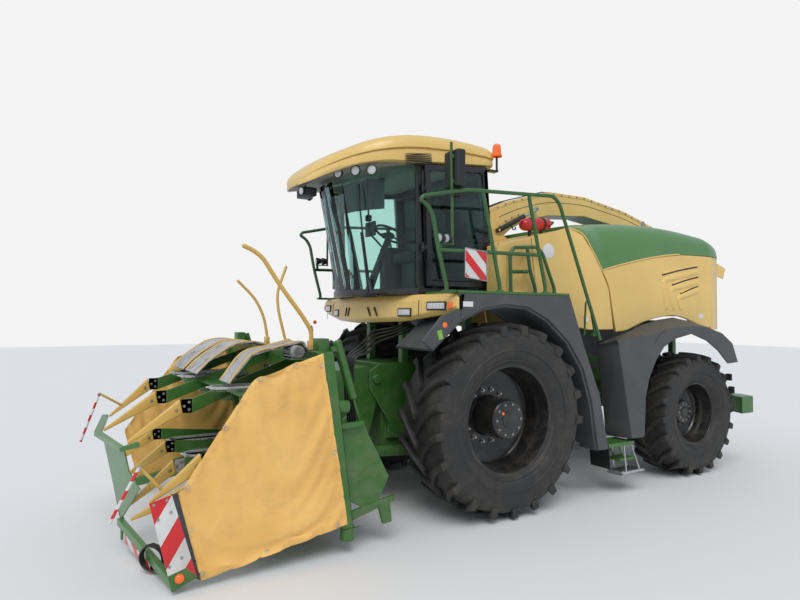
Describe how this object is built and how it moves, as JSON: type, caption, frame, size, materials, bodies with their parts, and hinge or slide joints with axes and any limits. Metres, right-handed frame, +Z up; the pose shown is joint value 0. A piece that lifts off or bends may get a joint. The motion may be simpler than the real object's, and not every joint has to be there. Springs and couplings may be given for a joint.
{
  "type": "forage harvester",
  "caption": "Self-propelled forage harvester with a cab, a turning discharge spout and a row-independent maize header folded for the road.",
  "frame": {"origin": "on the ground, in the middle of the overall length and width", "axes": "+X forward, +Y to the left of the driver, +Z up"},
  "size_m": [9.4513, 3, 3.91],
  "materials": {
    "green_paint": "green gloss paint",
    "bright_green_paint": "bright green gloss paint",
    "yellow_paint": "pale yellow gloss paint",
    "deep_yellow_paint": "deep yellow gloss paint",
    "grey_plastic": "dark grey moulded skin",
    "black_paint": "black gloss paint",
    "black_plastic": "black moulded plastic",
    "cast_grey": "bare cast metal",
    "chrome_rod": "polished rod",
    "glass_tint": "green tinted safety glass",
    "tyre_rubber": "worn black rubber",
    "hose_rubber": "black rubber",
    "tarp": "coated tarpaulin",
    "seat_cloth": "dark cloth",
    "sign": "red and white reflective stripes",
    "lamp_glass": "clear lamp lens",
    "red_paint": "red gloss paint"
  },
  "bodies": {
    "chassis": {"main_frame": "green_paint", "chopper_housing": "green_paint", "engine_block": "cast_grey", "body_front": "yellow_paint", "spout_collar": "yellow_paint", "hood_top": "bright_green_paint", "rear_panel": "yellow_paint", "rear_fenders": "grey_plastic", "front_fenders": "grey_plastic", "platform": "green_paint", "handrail": "bright_green_paint", "cab_frame": "black_paint", "cab_roof": "yellow_paint", "windscreen": "glass_tint", "cab_windows": "glass_tint", "seat": "seat_cloth", "controls": "black_plastic", "front_bumper": "yellow_paint", "mirrors": "black_plastic", "lamps": "lamp_glass", "extinguishers": "red_paint", "rear_bumper": "green_paint", "rear_axle": "green_paint"},
    "wheel_front_left": {"rim_front_left": "black_paint", "tyre_front_left": "tyre_rubber"},
    "wheel_front_right": {"rim_front_right": "black_paint", "tyre_front_right": "tyre_rubber"},
    "wheel_rear_left": {"rim_rear_left": "black_paint", "tyre_rear_left": "tyre_rubber"},
    "wheel_rear_right": {"rim_rear_right": "black_paint", "tyre_rear_right": "tyre_rubber"},
    "steer_left": {"knuckle_left": "green_paint"},
    "steer_right": {"knuckle_right": "green_paint"},
    "header": {"intake_housing": "green_paint", "header_frame": "green_paint", "header_rows": "green_paint", "skid_straps": "cast_grey", "dividers": "deep_yellow_paint", "guard_frame": "bright_green_paint", "warning_boards": "sign", "side_covers": "tarp", "guide_tubes": "deep_yellow_paint", "cable_coil": "hose_rubber", "hoses": "hose_rubber"},
    "lift_barrels": {"lift_barrels": "green_paint"},
    "lift_rods": {"lift_rods": "chrome_rod"},
    "spout_turret": {"spout_turret": "yellow_paint"},
    "spout_arm": {"spout_elbow": "yellow_paint", "spout_arm": "yellow_paint", "spout_pins": "cast_grey"},
    "spout_flap": {"spout_flap": "yellow_paint", "flap_horn": "yellow_paint"},
    "spout_barrel": {"spout_barrel": "black_paint"},
    "spout_rod": {"spout_rod": "chrome_rod"},
    "flap_barrel": {"flap_barrel": "black_paint"},
    "flap_rod": {"flap_rod": "chrome_rod"},
    "door": {"door_frame": "black_paint", "door_glass": "glass_tint"},
    "flap_left": {"side_flap_left": "yellow_paint"},
    "flap_right": {"side_flap_right": "yellow_paint"}
  },
  "joints": [
    {"name": "front_left_roll", "type": "hinge", "parent": "chassis", "child": "wheel_front_left", "pos_m": [1.044, 1.15, 0.975], "axis": [0, 1, 0], "continuous": true},
    {"name": "front_right_roll", "type": "hinge", "parent": "chassis", "child": "wheel_front_right", "pos_m": [1.044, -1.15, 0.975], "axis": [0, 1, 0], "continuous": true},
    {"name": "steer_left", "type": "hinge", "parent": "chassis", "child": "steer_left", "pos_m": [-2.156, 0.62, 0.775], "axis": [0, 0, 1], "range_deg": [-28, 28]},
    {"name": "steer_right", "type": "hinge", "parent": "chassis", "child": "steer_right", "pos_m": [-2.156, -0.62, 0.775], "axis": [0, 0, 1], "range_deg": [-28, 28]},
    {"name": "rear_left_roll", "type": "hinge", "parent": "steer_left", "child": "wheel_rear_left", "pos_m": [-2.156, 1.08, 0.775], "axis": [0, 1, 0], "continuous": true},
    {"name": "rear_right_roll", "type": "hinge", "parent": "steer_right", "child": "wheel_rear_right", "pos_m": [-2.156, -1.08, 0.775], "axis": [0, 1, 0], "continuous": true},
    {"name": "header_lift", "type": "hinge", "parent": "chassis", "child": "header", "pos_m": [2.014, 0, 1.34], "axis": [0, -1, 0], "range_deg": [0, 20]},
    {"name": "lift_barrel_swing", "type": "hinge", "parent": "chassis", "child": "lift_barrels", "pos_m": [1.344, 0, 0.56], "axis": [0, -1, 0], "range_deg": [-0.5, 8.51]},
    {"name": "lift_rod_stroke", "type": "slide", "parent": "lift_barrels", "child": "lift_rods", "axis": [0.9976, 0, 0.0694], "range_m": [0, 0.2488]},
    {"name": "spout_turn", "type": "hinge", "parent": "chassis", "child": "spout_turret", "pos_m": [0.244, 0, 3], "axis": [0, 0, 1], "range_deg": [-100, 100]},
    {"name": "spout_lift", "type": "hinge", "parent": "spout_turret", "child": "spout_arm", "pos_m": [0.444, 0, 3.04], "axis": [0, 1, 0], "range_deg": [0, 25]},
    {"name": "spout_barrel_swing", "type": "hinge", "parent": "spout_turret", "child": "spout_barrel", "pos_m": [0.184, 0, 3.08], "axis": [0, 1, 0], "range_deg": [-0.5, 33.37]},
    {"name": "spout_rod_stroke", "type": "slide", "parent": "spout_barrel", "child": "spout_rod", "axis": [-0.8944, 0, 0.4472], "range_m": [0, 0.0618]},
    {"name": "spout_flap", "type": "hinge", "parent": "spout_arm", "child": "spout_flap", "pos_m": [-4.166, 0, 2.925], "axis": [0, -1, 0], "range_deg": [0, 30]},
    {"name": "flap_barrel_swing", "type": "hinge", "parent": "spout_arm", "child": "flap_barrel", "pos_m": [-3.916, 0, 3.11], "axis": [0, -1, 0], "range_deg": [-0.5, 11.81]},
    {"name": "flap_rod_stroke", "type": "slide", "parent": "flap_barrel", "child": "flap_rod", "axis": [-0.9788, 0, -0.2049], "range_m": [0, 0.0582]},
    {"name": "door_swing", "type": "hinge", "parent": "chassis", "child": "door", "pos_m": [1.789, 0.962, 2.7], "axis": [0, 0, -1], "range_deg": [0, 30]},
    {"name": "flap_left_lift", "type": "hinge", "parent": "chassis", "child": "flap_left", "pos_m": [-0.606, 1.2, 2.66], "axis": [0.9941, 0, -0.1082], "range_deg": [0, 70]},
    {"name": "flap_right_lift", "type": "hinge", "parent": "chassis", "child": "flap_right", "pos_m": [-0.606, -1.2, 2.66], "axis": [-0.9941, 0, 0.1082], "range_deg": [0, 70]}
  ],
  "couplings": [
    {"joint": "steer_right", "follows": "steer_left", "ratio": 1},
    {"joint": "lift_barrel_swing", "follows": "header_lift", "ratio": 0.3954},
    {"joint": "lift_rod_stroke", "follows": "header_lift", "m_per_rad": 0.6906},
    {"joint": "spout_barrel_swing", "follows": "spout_lift", "ratio": 1.3028},
    {"joint": "spout_rod_stroke", "follows": "spout_lift", "m_per_rad": 0.1365},
    {"joint": "flap_barrel_swing", "follows": "spout_flap", "ratio": 0.3736},
    {"joint": "flap_rod_stroke", "follows": "spout_flap", "m_per_rad": 0.1069}
  ]
}
